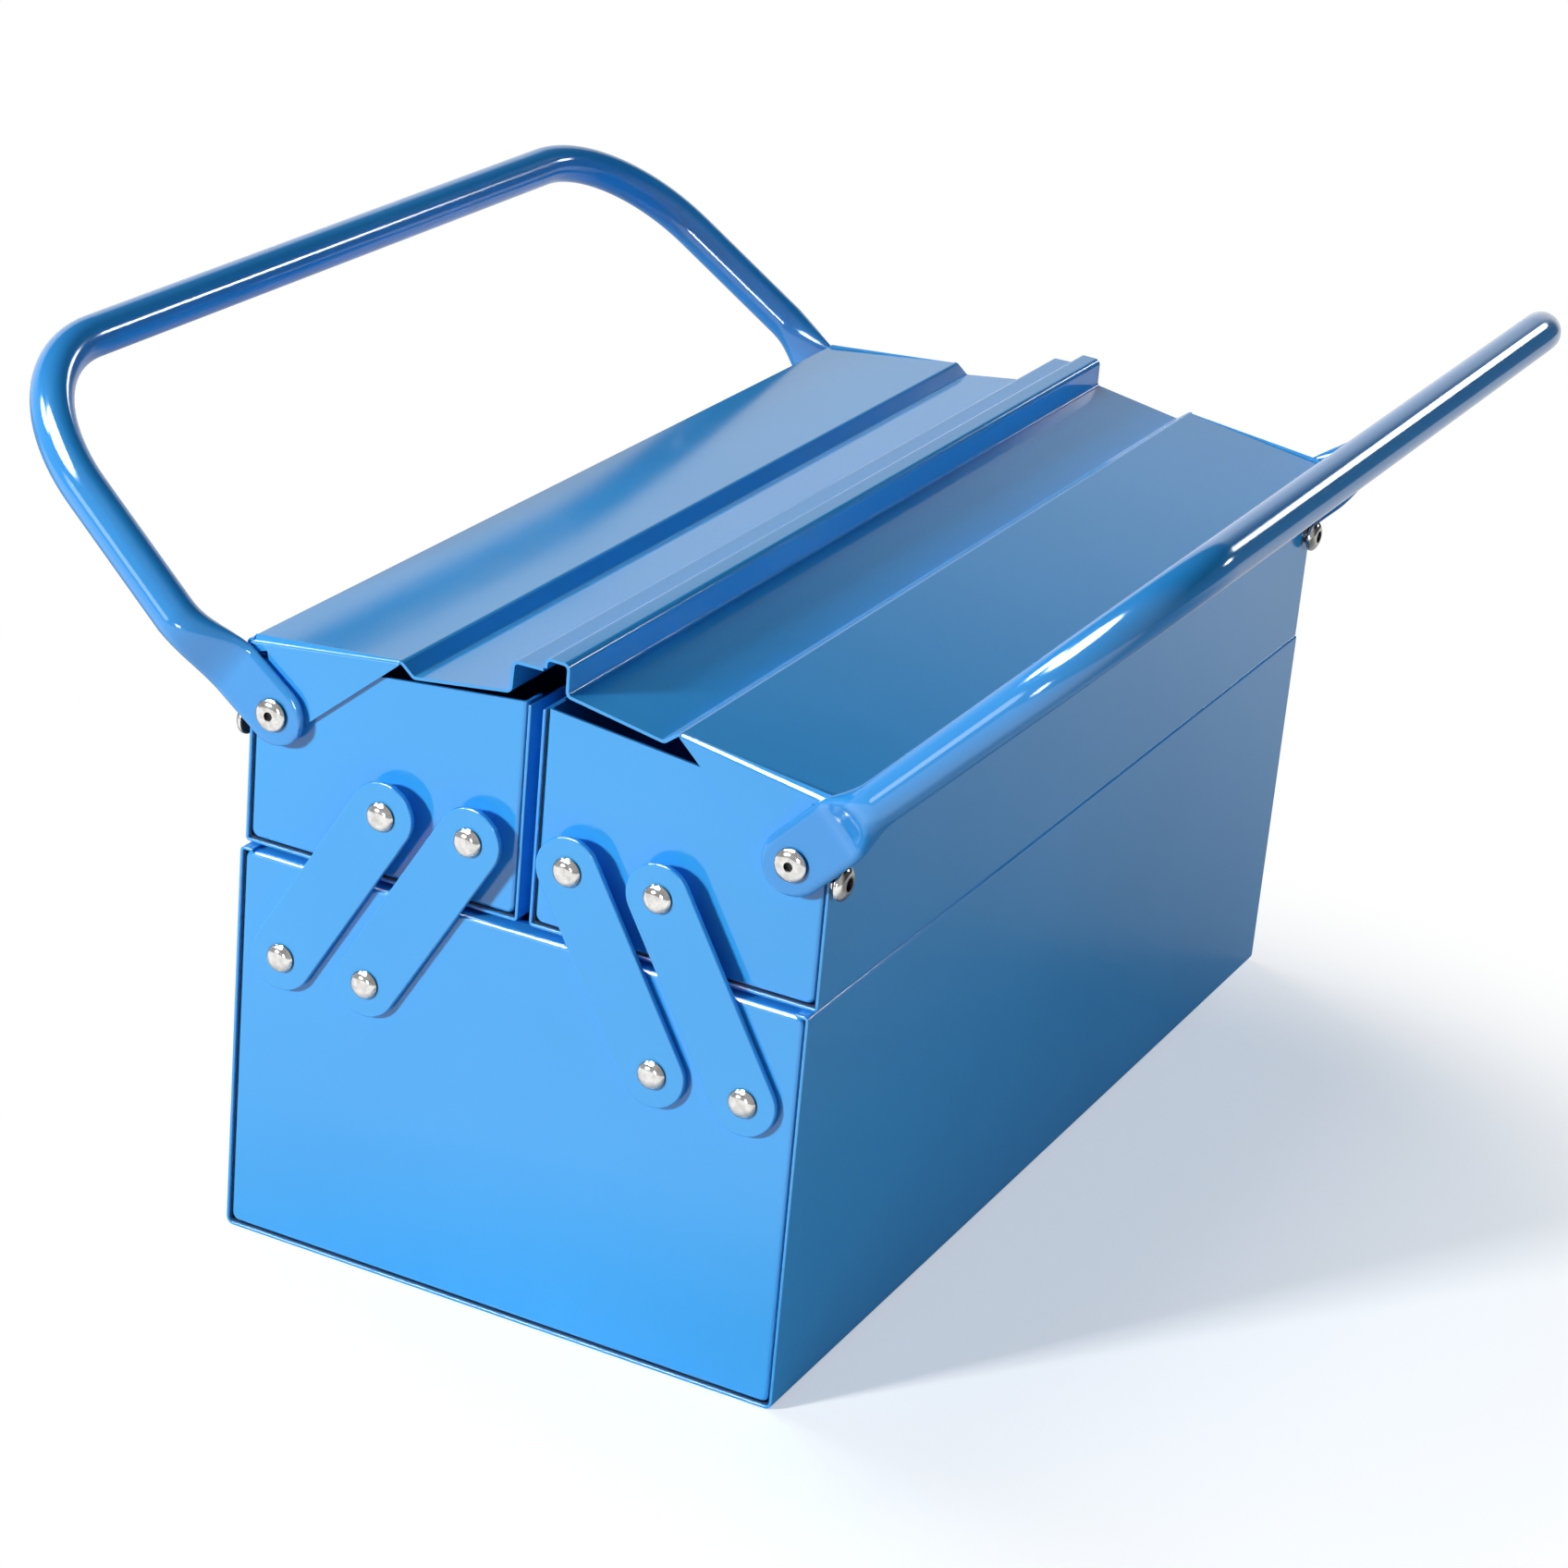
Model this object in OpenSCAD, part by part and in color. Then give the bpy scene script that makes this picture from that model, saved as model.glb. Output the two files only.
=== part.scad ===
// Cantilever tool box: a sheet steel base, two trays that swing out on parallel arms,
// two folding lids and two tubular carrying handles that share the lids' rivets.
// Millimetres. X runs across the box, Y along it and Z up; the origin is the middle of the underside.

/* [Base] */
// Width across the base
base_w = 200; // [170:1:260]
// Length of the base
base_l = 400; // [320:1:600]
// Height of the base's rim
base_h = 134; // [125:1:160]
// Thickness of the painted sheet
sheet_t = 1; // [0.8:0.1:1.5]
// Outside radius where the sheet turns from bottom to side
bend_r = 3.5; // [2.5:0.5:5]
// Width of the lip turned in along the top of a long side
lip_w = 4.5; // [3.5:0.5:6]
// Depth of the flange turned in around an end panel
flange_d = 9; // [6:0.5:14]
// How far an end panel sits behind the edges of the long sheet
panel_inset = 0.4; // [0.2:0.1:1]

/* [Trays] */
// How far a tray stands out past the base's side
tray_over = 0.8; // [0:0.1:2]
// How far a tray's end sits behind the base's end
tray_set = 4; // [3.5:0.1:5]
// Slot between the two trays
tray_slot = 4; // [3:0.5:8]
// Height of a tray's outer wall
tray_h = 64; // [60:1:72]
// Rise of a tray's end panel from the outer wall to the slot
panel_rise = 8.2; // [6:0.1:9]

/* [Arms] */
// Width of an arm
arm_w = 22; // [18:1:26]
// Thickness of an arm
arm_t = 2; // [1.5:0.1:3]
// Depth of the lower pivots below the base's rim
arm_low_drop = 32.7; // [30:0.1:38]
// Height of the upper pivots above the bottom of a tray
arm_high_rise = 24.5; // [22:0.1:28]
// Distance of an outer arm's lower pivot in from the base's side
arm_in = 18; // [16:0.1:20]
// Distance of an inner arm's upper pivot from the middle
arm_mid = 17.3; // [15:0.1:19]
// Distance between a tray's two arms
arm_pitch = 31; // [29:0.1:31.5]

/* [Rivets] */
// Diameter of an arm rivet's shank
arm_rivet_d = 5; // [4:0.1:6]
// Diameter of an arm rivet's domed head
arm_head_d = 9.5; // [8:0.1:11]
// Diameter of a handle rivet's shank
hinge_rivet_d = 6; // [5:0.1:7]
// Diameter of a handle rivet's head
hinge_head_d = 10.6; // [10:0.1:14]
// Diameter of a stop stud's stem
stud_d = 3.6; // [3:0.1:3.8]
// Diameter of a stop stud's head
stud_head_d = 11.2; // [10.8:0.1:12]
// Distance from a stop stud to the end of the tray
stud_set = 3.4; // [3.2:0.1:3.6]

/* [Lids] */
// Distance of the handle rivets in from a tray's side
hinge_in = 10.8; // [10:0.1:12]
// Depth of the handle rivets below a tray's rim
hinge_drop = 17.3; // [16:0.1:19]
// Height of a lid's outer corner above a tray's rim
lid_rise = 4.3; // [3.8:0.1:6]
// Rise of the upper panel from the outer corner to the step
slab_rise = 5.8; // [4:0.1:7]
// Distance of the step from the middle
step_x = 47; // [40:0.5:55]
// Drop at the step
step_drop = 3.8; // [2:0.1:4]
// Width of the sloping step
step_w = 4.5; // [3:0.5:8]
// Rise of the lower panel from the step to the ridge
plateau_rise = 4.4; // [4:0.1:6]
// Distance of the ridge's wall from the middle
ridge_x = 9; // [8:0.5:12]
// Height of the ridge's wall
ridge_h = 9.7; // [7:0.1:12]
// Depth of the skirt that hangs outside the tray's wall
skirt_d = 6.1; // [5:0.1:7]
// Radius of an ear around its rivet
ear_r = 8; // [7:0.5:9]
// How far the right lid rests open on the left one, in degrees
lid_lift = 2.4; // [2:0.1:3]
// How far a lid opens from closed, in degrees
lid_open = 84; // [70:1:84]

/* [Handles] */
// Diameter of the tube
tube_d = 14; // [12:0.5:16]
// Wall of the tube
tube_wall = 1.5; // [1:0.1:2]
// Distance from the rivet to the middle of the grip
handle_reach = 139; // [130:1:150]
// Middle radius of the tube's bends
tube_bend_r = 56; // [40:1:60]
// Rest angle of the left handle above level
left_rest = 37; // [34:1:50]
// Rest angle of the right handle above level
right_rest = 46; // [34:1:50]
// Width of the flattened end
flat_w = 21; // [20:0.5:22]
// Thickness of the flattened end
flat_t = 3; // [2.5:0.1:3.5]
// Length of the flattened end from the rivet
flat_l = 27; // [24:1:30]
// Distance from the rivet at which the tube is fully round
round_l = 42; // [41:1:48]
// How far each leg leans in towards the other by the grip
leg_lean = 14; // [8:1:18]

/* [Clearances] */
// Gap between a moving piece and what it slides past
gap = 0.3; // [0.2:0.05:0.4]
// Radial running clearance of an arm, lid or handle on its rivet
run_fit = 0.05; // [0.02:0.01:0.1]
// Radial clearance of a rivet in its own panel
set_fit = 0.02; // [0.01:0.01:0.05]

/* [Hidden] */
$fn = 48;
paint = "#4a9ae6";
paint_dark = "#2f6fae";
plating = "#d8dade";
bend_steps = 5;
mid_bend = bend_r - sheet_t / 2;
left = -1;
right = 1;

// Planes along Y, each given as its distance from the middle of the box
base_edge_y = base_l / 2;
base_face_y = base_edge_y - panel_inset;
tray_edge_y = base_edge_y - tray_set;
tray_face_y = tray_edge_y - panel_inset;
ear_y = tray_edge_y + gap;
lid_edge_y = ear_y + sheet_t;
flat_y = lid_edge_y + gap;
flat_out_y = flat_y + flat_t;
arm_y = base_edge_y + gap;
arm_out_y = arm_y + arm_t;

// Tray outline across the box
tray_out = base_w / 2 + tray_over;
tray_in = tray_slot / 2;
tray_z = base_h + gap;
tray_top = tray_z + tray_h;
inner_top = tray_top + panel_rise - 1.2 * sheet_t;

// Pivots of the arms, and the rivets shared by a lid and a handle
arm_low_x = base_w / 2 - arm_in;
arm_high_x = arm_mid + arm_pitch;
arm_low_z = base_h - arm_low_drop;
arm_high_z = tray_z + arm_high_rise;
hinge_x = tray_out - hinge_in;
hinge_z = tray_top - hinge_drop;

// Lid outline across the box
skirt_gap = 0.5;
lid_out = tray_out + skirt_gap + sheet_t;
lid_z = tray_top + lid_rise;
slab_z = lid_z + slab_rise;
foot_x = step_x - step_w;
foot_z = slab_z - step_drop;
plateau_z = foot_z + plateau_rise;
ridge_z = plateau_z + ridge_h;
lip_drop = 3.6;
lid_bend = 1.2;
ear_margin = 1.5;

// The right lid's lip hangs beside the left lid's flange once the right lid is lifted
right_lip_x = 0.4;
lifted_lip_x = hinge_x + (right_lip_x - hinge_x) * cos(lid_lift) + (ridge_z - hinge_z) * sin(lid_lift);
left_flange_end = lifted_lip_x - gap - 0.1;

// Handle centre line in its own plane: along the leg, then across the box
leg_start_y = flat_y + tube_d / 2;
grip_y = leg_start_y - leg_lean;
swell_lap = 0.5;
round_in = 6;
grip_lap = 1;

// Rivet heads inside the sheet, collars and heads outside it
arm_inside_t = 1.2;
arm_dome_h = 2.2;
hinge_inside_t = 1.5;
hinge_head_t = 2;
hinge_head_bevel = 2.6;
hinge_dimple_d = 2.6;
hinge_dimple_floor = 0.6;
shank_lap = 1;

// Stop studs: the flat's lower edge comes down on the head's inner rim, which reaches under it
stud_out = 1.8;
stud_rise = 3;
stud_inside = 1;
stud_washer_w = 1.5;
stud_washer_t = 0.8;
stud_bevel = 4;
stud_near = tray_out - hinge_x + stud_out;
stud_reach = stud_near + stud_rise / 2;
stud_y = tray_edge_y - stud_set;
function stud_chord(y) = sqrt(pow(stud_head_d / 2, 2) - pow(y - stud_y, 2));
function stud_z(rest) = hinge_z - stud_chord(flat_y)
    - (flat_w / 2 + gap - stud_near * sin(rest)) / cos(rest);

// ---- sheet metal ----

// Heading of a line in degrees
function heading(v) = atan2(v[1], v[0]);

// Left-hand unit normal of a heading
function side_of(h) = [-sin(h), cos(h)];

// Signed turn between two headings, from -180 to 180
function turn(a, b) = atan2(sin(b - a), cos(b - a));

// Points along one rounded corner of a path, each with its heading
function corner(p, q, s, r) =
    let(a = heading(q - p), w = turn(a, heading(s - q)), k = sign(w),
        start = q - r * tan(abs(w) / 2) * [cos(a), sin(a)], centre = start + k * r * side_of(a))
    [for (i = [0:bend_steps]) let(h = a + w * i / bend_steps) [centre - k * r * side_of(h), h]];

// A whole path with its corners rounded to the radii given, one for each corner
function sheet_line(path, radii) = let(n = len(path)) concat(
    [[path[0], heading(path[1] - path[0])]],
    [for (i = [1:n - 2]) each corner(path[i - 1], path[i], path[i + 1], radii[i - 1])],
    [[path[n - 1], heading(path[n - 1] - path[n - 2])]]);

// Outline of a sheet bent along the path, which is the middle of its thickness
function sheet_outline(path, radii) = let(line = sheet_line(path, radii), n = len(line))
    concat([for (k = line) k[0] + side_of(k[1]) * sheet_t / 2],
        [for (i = [n - 1:-1:0]) line[i][0] - side_of(line[i][1]) * sheet_t / 2]);

// Extrudes a flat shape drawn in X and Z along Y, centred on the box
module along(length) {
    translate([0, length / 2, 0])
        rotate([90, 0, 0])
            linear_extrude(length)
                children();
}

// Extrudes a flat shape drawn in X and Z from y0 towards the rear
module plate(y0, thick) {
    translate([0, y0 + thick, 0])
        rotate([90, 0, 0])
            linear_extrude(thick)
                children();
}

// Copies its children to the front end, or mirrors them to the rear one
module at_end(front) {
    mirror([0, front ? 0 : 1, 0])
        children();
}

// Left side as drawn, right side mirrored
module on_side(side) {
    mirror([side == right ? 1 : 0, 0, 0])
        children();
}

// Round hole or peg along Y at a point in X and Z, between two distances from the middle
module peg(x, z, d, y0, y1) {
    translate([x, -y0, z])
        rotate([90, 0, 0])
            cylinder(h = y1 - y0, d = d);
}

// ---- base ----

module base_wrap() {
    x = base_w / 2 - sheet_t / 2;
    top = base_h - sheet_t / 2;
    lip = base_w / 2 - lip_w;
    path = [[-lip, top], [-x, top], [-x, sheet_t / 2], [x, sheet_t / 2], [x, top], [lip, top]];
    color(paint_dark)
        along(base_l)
            polygon(sheet_outline(path, [mid_bend, mid_bend, mid_bend, mid_bend]));
}

// Quarter circle of radius c round a point, starting at angle a0
function quarter(x, z, c, a0) =
    [for (i = [0:bend_steps]) let(a = a0 + 90 * i / bend_steps) [x + c * cos(a), z + c * sin(a)]];

// Outline of a base end panel, drawn in by d on every side
function base_panel(d) = let(x = base_w / 2 - sheet_t - bend_r, low = sheet_t + bend_r,
    high = base_h - sheet_t - bend_r, c = bend_r - d)
    concat(quarter(x, high, c, 0), quarter(-x, high, c, 90),
        quarter(-x, low, c, 180), quarter(x, low, c, 270));

module base_end(front) {
    color(paint)
        at_end(front)
            difference() {
                plate(-base_face_y, flange_d)
                    polygon(base_panel(0));
                plate(-base_face_y + sheet_t, flange_d)
                    polygon(base_panel(sheet_t));
                for (side = [left, right], x = [arm_low_x, arm_low_x - arm_pitch])
                    peg(side * x, arm_low_z, arm_rivet_d + 2 * set_fit,
                        base_face_y - 2 * sheet_t, base_edge_y);
            }
}

// Shouldered rivet for an arm: inside head, shank, spacing collar and domed head
module arm_rivet(x, z, face_y) {
    inside = face_y - sheet_t;
    head_y = arm_out_y + gap;
    dome = dome_r(arm_dome_h);
    peg(x, z, arm_head_d, inside - arm_inside_t, inside);
    peg(x, z, arm_rivet_d, inside - shank_lap, head_y + shank_lap);
    peg(x, z, arm_head_d, face_y, base_edge_y);
    translate([x, -head_y, z])
        rotate([90, 0, 0])
            rotate_extrude()
                intersection() {
                    translate([0, arm_dome_h - dome])
                        circle(dome, $fn = 96);
                    square([arm_head_d, arm_dome_h]);
                }
}

// Radius of a dome that covers an arm rivet's head and stands as high as given, with a short rim
function dome_r(h) = let(c = arm_head_d / 2, s = 0.75 * h) (c * c + s * s) / (2 * s);

module base_rivets(front) {
    color(plating)
        at_end(front)
            for (side = [left, right], x = [arm_low_x, arm_low_x - arm_pitch])
                arm_rivet(side * x, arm_low_z, base_face_y);
}

// ---- trays, drawn for the left side ----

// Hole for the front stop stud, through the wall and the end panel's flange
module stud_hole(side) {
    translate([-tray_out - sheet_t, -stud_y, stud_z(side == left ? left_rest : right_rest)])
        rotate([0, 90, 0])
            cylinder(h = 4 * sheet_t, d = stud_d + 2 * set_fit);
}

module tray_wrap(side) {
    out = tray_out - sheet_t / 2;
    in = tray_in + sheet_t / 2;
    low = tray_z + sheet_t / 2;
    top = tray_top - sheet_t / 2;
    path = [[-(tray_out - lip_w), top], [-out, top], [-out, low], [-in, low], [-in, inner_top]];
    color(paint_dark)
        on_side(side)
            difference() {
                along(2 * tray_edge_y)
                    polygon(sheet_outline(path, [mid_bend, mid_bend, mid_bend]));
                for (front = [true, false])
                    at_end(front)
                        stud_hole(side);
            }
}

// Outline of a tray end panel, drawn in by d on every side; it is level under the rim's lip
// and rises from there to the slot
function tray_panel(d) = let(in = tray_in + sheet_t, lip = tray_out - lip_w, top = tray_top - sheet_t,
    rise = panel_rise + sheet_t, slope = atan(rise / (lip - in)),
    out = tray_out - sheet_t - bend_r, low = tray_z + sheet_t + bend_r, c = bend_r - d)
    concat([[-in - d, top + rise - d * tan(slope) - d / cos(slope)], [-lip + d * tan(slope / 2), top - d]],
        quarter(-out, top - bend_r, c, 90), quarter(-out, low, c, 180), quarter(-in - bend_r, low, c, 270));

module tray_end(side, front) {
    color(paint)
        on_side(side)
            at_end(front)
                difference() {
                    plate(-tray_face_y, flange_d)
                        polygon(tray_panel(0));
                    plate(-tray_face_y + sheet_t, flange_d)
                        polygon(tray_panel(sheet_t));
                    for (x = [arm_high_x, arm_high_x - arm_pitch])
                        peg(-x, arm_high_z, arm_rivet_d + 2 * set_fit,
                            tray_face_y - 2 * sheet_t, tray_edge_y);
                    peg(-hinge_x, hinge_z, hinge_rivet_d + 2 * set_fit,
                        tray_face_y - 2 * sheet_t, tray_edge_y);
                    stud_hole(side);
                }
}

module tray_arm_rivets(side) {
    color(plating)
        on_side(side)
            for (front = [true, false], x = [arm_high_x, arm_high_x - arm_pitch])
                at_end(front)
                    arm_rivet(-x, arm_high_z, tray_face_y);
}

// Rivet that carries a lid's ear and a handle's end, with a small hole in its head
module hinge_rivets(side) {
    inside = tray_face_y - sheet_t;
    head_y = flat_out_y + gap;
    rim_d = hinge_head_d - sheet_t;
    color(plating)
        on_side(side)
            for (front = [true, false])
                at_end(front)
                    difference() {
                        union() {
                            peg(-hinge_x, hinge_z, rim_d, inside - hinge_inside_t, inside);
                            peg(-hinge_x, hinge_z, hinge_rivet_d, inside - shank_lap, head_y + shank_lap);
                            peg(-hinge_x, hinge_z, rim_d, tray_face_y, tray_edge_y);
                            translate([-hinge_x, -head_y, hinge_z])
                                rotate([90, 0, 0])
                                    cylinder(h = hinge_head_t, d1 = hinge_head_d,
                                        d2 = hinge_head_d - hinge_head_bevel);
                        }
                        peg(-hinge_x, hinge_z, hinge_dimple_d, head_y + hinge_dimple_floor,
                            head_y + hinge_head_t + shank_lap);
                    }
}

// Studs on the outer wall that the handle's flattened end comes down on
module stop_studs(side) {
    z = stud_z(side == left ? left_rest : right_rest);
    through = 2 * sheet_t + stud_inside;
    color(plating)
        on_side(side)
            for (y = [-stud_y, stud_y])
                translate([-tray_out, y, z])
                    rotate([0, -90, 0]) {
                        translate([0, 0, -through])
                            cylinder(h = through + stud_out + stud_rise / 2, d = stud_d);
                        cylinder(h = stud_washer_t, d = stud_d + 2 * stud_washer_w);
                        translate([0, 0, stud_out])
                            cylinder(h = stud_rise / 2, d = stud_head_d);
                        translate([0, 0, stud_out + stud_rise / 2])
                            cylinder(h = stud_rise / 2, d1 = stud_head_d, d2 = stud_head_d - stud_bevel);
                    }
}

// ---- arms, drawn upright from the lower pivot and leant in over the box ----

arm_len = norm([arm_low_x - arm_high_x, arm_high_z - arm_low_z]);
arm_lean = atan2(arm_low_x - arm_high_x, arm_high_z - arm_low_z);

module arm(side, outer, front) {
    x = outer ? arm_low_x : arm_low_x - arm_pitch;
    color(paint)
        on_side(side)
            at_end(front)
                translate([-x, 0, arm_low_z])
                    rotate([0, arm_lean, 0])
                        difference() {
                            union() {
                                peg(0, 0, arm_w, arm_y, arm_out_y);
                                peg(0, arm_len, arm_w, arm_y, arm_out_y);
                                translate([-arm_w / 2, -arm_out_y, 0])
                                    cube([arm_w, arm_t, arm_len]);
                            }
                            peg(0, 0, arm_rivet_d + 2 * run_fit, arm_y - 1, arm_out_y + 1);
                            peg(0, arm_len, arm_rivet_d + 2 * run_fit, arm_y - 1, arm_out_y + 1);
                        }
}

// ---- lids, drawn for the left side and closed ----

// Where a line from point p touches a circle round c; k picks the side
function touch(p, c, r, k) = let(v = p - c, a = heading(v) + k * acos(r / norm(v)))
    c + r * [cos(a), sin(a)];

// Ear that reaches down from the slab's end to the rivet. Its outer edge is cut back to a line and
// an arc round the rivet, so that it swings past the stop stud while the lid opens. The arc starts
// no nearer the rivet than the skirt's lower corner.
module ear(rest) {
    pivot = [-hinge_x, hinge_z];
    foot = [-foot_x, foot_z];
    drop = hinge_z - stud_z(rest);
    head_top = stud_chord(ear_y) - drop;
    clear = norm([stud_reach, drop + stud_chord(ear_y)]) + gap;
    far = max(clear, norm([lid_out - hinge_x, lid_z - skirt_d - hinge_z]));
    cut = lid_open + atan2(head_top, stud_reach) + ear_margin;
    corner = acos((lid_out - hinge_x) / far);
    polygon(concat([foot, [-step_x, slab_z], [-lid_out + sheet_t, lid_z], [-lid_out, lid_z - sheet_t]],
        [for (i = [0:bend_steps]) let(a = corner + (cut - corner) * i / bend_steps)
            pivot + far * [-cos(a), sin(a)]],
        [pivot, touch(foot, pivot, ear_r, -1)]));
    translate(pivot)
        circle(ear_r);
}

module lid(side) {
    half = sheet_t / 2;
    rise = ridge_z - half;
    skin = [[half - lid_out, lid_z - skirt_d], [half - lid_out, lid_z - half], [-step_x, slab_z - half],
        [-foot_x, foot_z - half], [-ridge_x, plateau_z - half], [-ridge_x + half, rise]];
    edge = side == left ? [[left_flange_end, rise]] :
        [[-right_lip_x - half, rise], [-right_lip_x - half, ridge_z - lip_drop]];
    bends = side == left ? [lid_bend, lid_bend, lid_bend, lid_bend, lid_bend] :
        [lid_bend, lid_bend, lid_bend, lid_bend, lid_bend, lid_bend];
    color(paint_dark)
        on_side(side)
            difference() {
                union() {
                    along(2 * lid_edge_y)
                        polygon(sheet_outline(concat(skin, edge), bends));
                    for (front = [true, false])
                        at_end(front)
                            plate(-lid_edge_y, sheet_t)
                                ear(side == left ? left_rest : right_rest);
                }
                for (front = [true, false])
                    at_end(front)
                        peg(-hinge_x, hinge_z, hinge_rivet_d + 2 * run_fit, ear_y - 1, lid_edge_y + 1);
            }
}

// Turns its children about the left hinge line; a positive angle lifts the inner edge
module about_hinge(angle) {
    translate([-hinge_x, 0, hinge_z])
        rotate([0, -angle, 0])
            translate([hinge_x, 0, -hinge_z])
                children();
}

module left_lid() {
    lid(left);
}

// The right lid rests on the edge of the left one, so it sits a little open
module right_lid() {
    mirror([1, 0, 0])
        about_hinge(lid_lift)
            mirror([1, 0, 0])
                lid(right);
}

// ---- handles, drawn with the rivets on the Y axis and the legs along +X ----

leg_turn = 90 - atan(leg_lean / (handle_reach - round_l));
bend_in = tube_bend_r * tan(leg_turn / 2);
leg_len = norm([handle_reach - round_l, leg_lean]) - bend_in;
leg_angle = 90 - leg_turn;

// Half of the tube's run as a solid rod of the diameter given: leg, bend and just over half of the grip
module half_run(d) {
    translate([round_l, -leg_start_y, 0])
        rotate([0, 0, leg_angle]) {
            rotate([0, 90, 0])
                cylinder(h = leg_len, d = d);
            translate([leg_len, tube_bend_r, 0])
                rotate([0, 0, -90]) {
                    rotate_extrude(angle = leg_turn)
                        translate([tube_bend_r, 0])
                            circle(d = d);
                    rotate([0, 0, leg_turn])
                        translate([tube_bend_r, 0, 0])
                            rotate([-90, 0, 0])
                                cylinder(h = grip_y - bend_in + grip_lap, d = d);
                }
        }
}

// Flattened end that swells into the round leg
module handle_end() {
    difference() {
        union() {
            peg(0, 0, flat_w, flat_y, flat_out_y);
            translate([0, -flat_out_y, -flat_w / 2])
                cube([flat_l, flat_t, flat_w]);
            hull() {
                translate([flat_l - swell_lap, -flat_out_y, -flat_w / 2])
                    cube([swell_lap, flat_t, flat_w]);
                translate([round_l - round_in, -leg_start_y, 0])
                    rotate([0, 90, 0])
                        cylinder(h = round_in, d = tube_d, $fn = 32);
            }
        }
        peg(0, 0, hinge_rivet_d + 2 * run_fit, flat_y - shank_lap, flat_out_y + shank_lap);
    }
    translate([round_l, -leg_start_y, 0])
        sphere(d = tube_d);
}

module handle(side, rest) {
    color(paint_dark)
        translate([side * hinge_x, 0, hinge_z])
            mirror([side == left ? 1 : 0, 0, 0])
                rotate([0, -rest, 0]) {
                    difference() {
                        for (front = [true, false])
                            at_end(front)
                                half_run(tube_d);
                        for (front = [true, false])
                            at_end(front)
                                half_run(tube_d - 2 * tube_wall);
                    }
                    for (front = [true, false])
                        at_end(front)
                            handle_end();
                }
}

base_wrap();
base_end(true);  // base_front_end
base_end(false);  // base_rear_end
base_rivets(true);  // base_front_rivets
base_rivets(false);  // base_rear_rivets
tray_wrap(left);  // left_tray_wrap
tray_end(left, true);  // left_tray_front_end
tray_end(left, false);  // left_tray_rear_end
tray_arm_rivets(left);  // left_tray_arm_rivets
hinge_rivets(left);  // left_hinge_rivets
stop_studs(left);  // left_stop_studs
left_lid();
handle(left, left_rest);  // left_handle
arm(left, true, true);  // left_outer_arm_front
arm(left, true, false);  // left_outer_arm_rear
arm(left, false, true);  // left_inner_arm_front
arm(left, false, false);  // left_inner_arm_rear
tray_wrap(right);  // right_tray_wrap
tray_end(right, true);  // right_tray_front_end
tray_end(right, false);  // right_tray_rear_end
tray_arm_rivets(right);  // right_tray_arm_rivets
hinge_rivets(right);  // right_hinge_rivets
stop_studs(right);  // right_stop_studs
right_lid();
handle(right, right_rest);  // right_handle
arm(right, true, true);  // right_outer_arm_front
arm(right, true, false);  // right_outer_arm_rear
arm(right, false, true);  // right_inner_arm_front
arm(right, false, false);  // right_inner_arm_rear
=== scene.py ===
import bmesh
import bpy
import math
from mathutils import Matrix, Vector


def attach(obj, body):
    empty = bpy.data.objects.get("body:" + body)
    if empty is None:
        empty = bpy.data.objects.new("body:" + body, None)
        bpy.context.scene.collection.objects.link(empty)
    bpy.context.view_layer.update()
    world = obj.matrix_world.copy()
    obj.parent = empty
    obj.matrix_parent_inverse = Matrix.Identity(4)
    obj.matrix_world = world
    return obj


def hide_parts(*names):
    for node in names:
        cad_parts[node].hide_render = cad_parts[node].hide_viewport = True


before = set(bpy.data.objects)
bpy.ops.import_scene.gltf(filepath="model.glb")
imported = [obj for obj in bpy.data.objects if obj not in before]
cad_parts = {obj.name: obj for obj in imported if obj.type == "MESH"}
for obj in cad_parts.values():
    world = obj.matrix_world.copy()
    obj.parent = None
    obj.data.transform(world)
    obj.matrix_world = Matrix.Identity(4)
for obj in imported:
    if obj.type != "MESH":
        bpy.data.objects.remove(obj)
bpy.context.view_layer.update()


# ---- Base sheet ----
# One sheet of 1 mm steel folded up from the bottom into both long sides, with the top edges
# rolled over into a lip that stiffens the rim. It is powder coated in one light blue.

# All sheets are given in millimetres, by the middle of their thickness.
mm = 0.001
base_half_w = 99.5
base_floor = 0.5
base_rim = 133.5
base_length = 400
rim_lip = 4
rim_fold = 1
side_bend = 2.2
bend_step = 12
sheet_thick = 1.0
sheet_edge = 0.28
slack = 0.05


def pick(piece, wanted):
    """Selects just the points of the piece being edited that lie where wanted says."""
    shape = bmesh.from_edit_mesh(piece.data)
    bpy.ops.mesh.select_mode(type="VERT")
    for point in shape.verts:
        point.select = wanted(point.co / mm)
    shape.select_flush_mode()
    bmesh.update_edit_mesh(piece.data)


def at(x, z):
    """A test for points on the line that runs along the box at x and z."""
    return lambda p: abs(p.x - x) < slack and abs(p.z - z) < slack


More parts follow.
